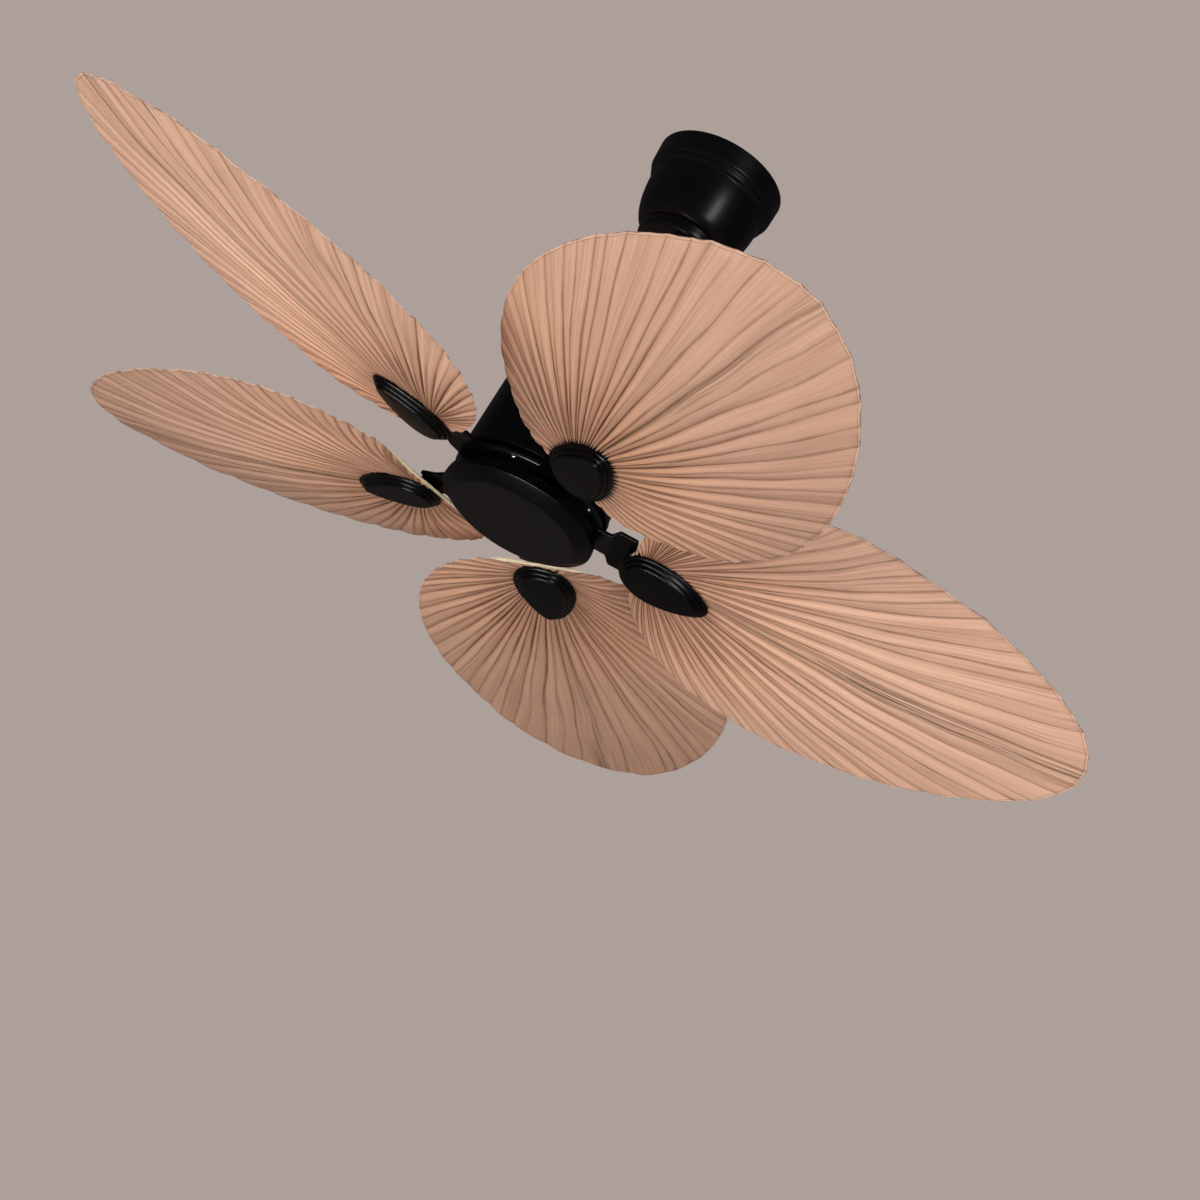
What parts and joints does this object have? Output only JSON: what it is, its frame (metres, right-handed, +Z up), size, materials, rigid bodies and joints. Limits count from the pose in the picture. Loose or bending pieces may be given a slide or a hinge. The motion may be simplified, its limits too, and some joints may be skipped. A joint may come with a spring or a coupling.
{
  "type": "ceiling fan",
  "caption": "Ceiling fan with pleated palm-leaf blades on a spinning hub, hung from a domed canopy by a ball and a downrod.",
  "frame": {"origin": "middle of the bracket's ceiling face", "axes": "+Z up into the ceiling, square to its face; +X along the first blade, whose pitch is seen from that blade's end"},
  "size_m": [1.2099, 1.2589, 0.5183],
  "materials": {
    "black_metal": "satin black paint",
    "zinc_steel": "zinc plated",
    "steel": "machined",
    "cast_metal": "as cast, painted dark where it shows",
    "lamination": "stacked steel sheet",
    "copper": "varnished copper wire",
    "ball_plastic": "moulded",
    "grey_plastic": "moulded",
    "palm_leaf": "dried pleated palm leaf",
    "cane": "split cane"
  },
  "bodies": {
    "ceiling": {"hanger_bracket": "zinc_steel", "canopy": "black_metal", "canopy_trim_ring": "black_metal", "canopy_screw_1": "black_metal", "canopy_screw_2": "black_metal"},
    "hanger": {"hanger_ball": "ball_plastic", "ball_pin": "steel", "downrod": "black_metal", "coupling_cover": "black_metal", "motor_coupling": "zinc_steel", "clevis_pin": "steel", "stator_shaft": "steel", "motor_housing": "black_metal", "stator_core": "lamination", "stator_winding": "copper", "bearing_inner_upper": "steel", "bearing_inner_lower": "steel", "cap_plate": "zinc_steel", "shaft_nut": "zinc_steel", "capacitor": "grey_plastic", "bottom_cap": "black_metal"},
    "rotor": {"rotor_shell": "cast_metal", "flywheel": "cast_metal", "rotor_cage": "lamination", "bearing_outer_upper": "steel", "bearing_outer_lower": "steel", "blade_iron_1": "black_metal", "blade_iron_2": "black_metal", "blade_iron_3": "black_metal", "blade_iron_4": "black_metal", "blade_iron_5": "black_metal", "leaf_1": "palm_leaf", "leaf_2": "palm_leaf", "leaf_3": "palm_leaf", "leaf_4": "palm_leaf", "leaf_5": "palm_leaf", "medallion_1": "black_metal", "medallion_2": "black_metal", "medallion_3": "black_metal", "medallion_4": "black_metal", "medallion_5": "black_metal", "root_splint_1": "cane", "root_splint_2": "cane", "root_splint_3": "cane", "root_splint_4": "cane", "root_splint_5": "cane"}
  },
  "joints": [
    {"name": "hanger_swing", "type": "hinge", "parent": "ceiling", "child": "hanger", "pos_m": [0, 0, -0.058], "axis": [1, 0, 0], "range_deg": [-14, 14]},
    {"name": "blade_spin", "type": "hinge", "parent": "hanger", "child": "rotor", "pos_m": [0, 0, -0.4], "axis": [0, 0, 1], "continuous": true}
  ]
}
